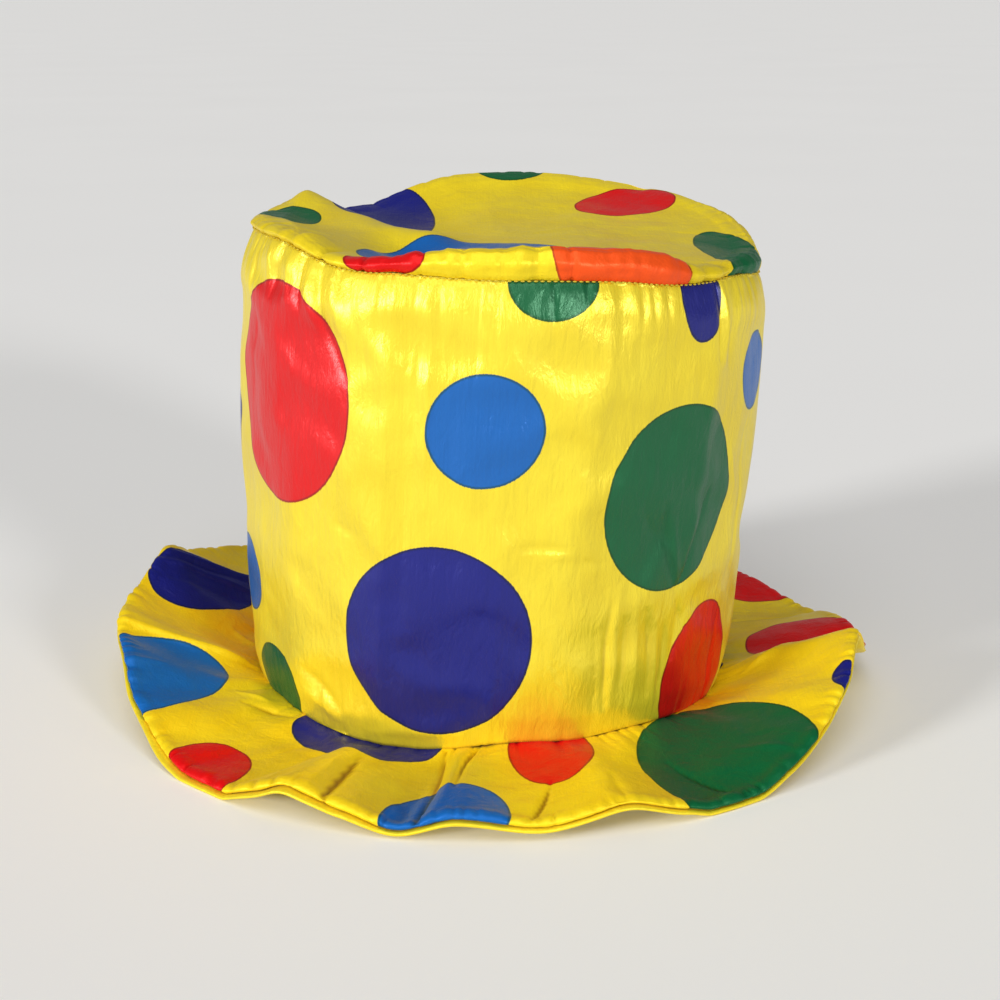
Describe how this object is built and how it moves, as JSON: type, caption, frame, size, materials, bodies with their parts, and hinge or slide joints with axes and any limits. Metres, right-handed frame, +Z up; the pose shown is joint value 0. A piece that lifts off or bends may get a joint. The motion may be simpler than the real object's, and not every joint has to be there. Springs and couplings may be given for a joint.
{
  "type": "clown hat",
  "caption": "Soft padded satin top hat for a clown costume, with a tall flared crown, a rolled rim, a sagging top and a wide wavy brim, printed with coloured dots.",
  "frame": {"origin": "on the surface that the hat stands on, under the middle of its box", "axes": "+Z up through the crown, -Y towards the front that the picture shows, +X to the viewer's right"},
  "size_m": [0.3144, 0.3188, 0.2011],
  "materials": {
    "satin_crown": "yellow polyester satin laminated on thin foam, printed with coloured dots, soft shine",
    "satin_top": "yellow polyester satin laminated on thin foam, printed with coloured dots, soft shine",
    "satin_brim": "yellow padded polyester satin, printed with coloured dots, soft shine",
    "satin_under": "yellow polyester satin, soft shine"
  },
  "bodies": {
    "root": {"crown_side": "satin_crown", "crown_top": "satin_top", "brim_upper": "satin_brim", "brim_under": "satin_under"}
  },
  "joints": []
}
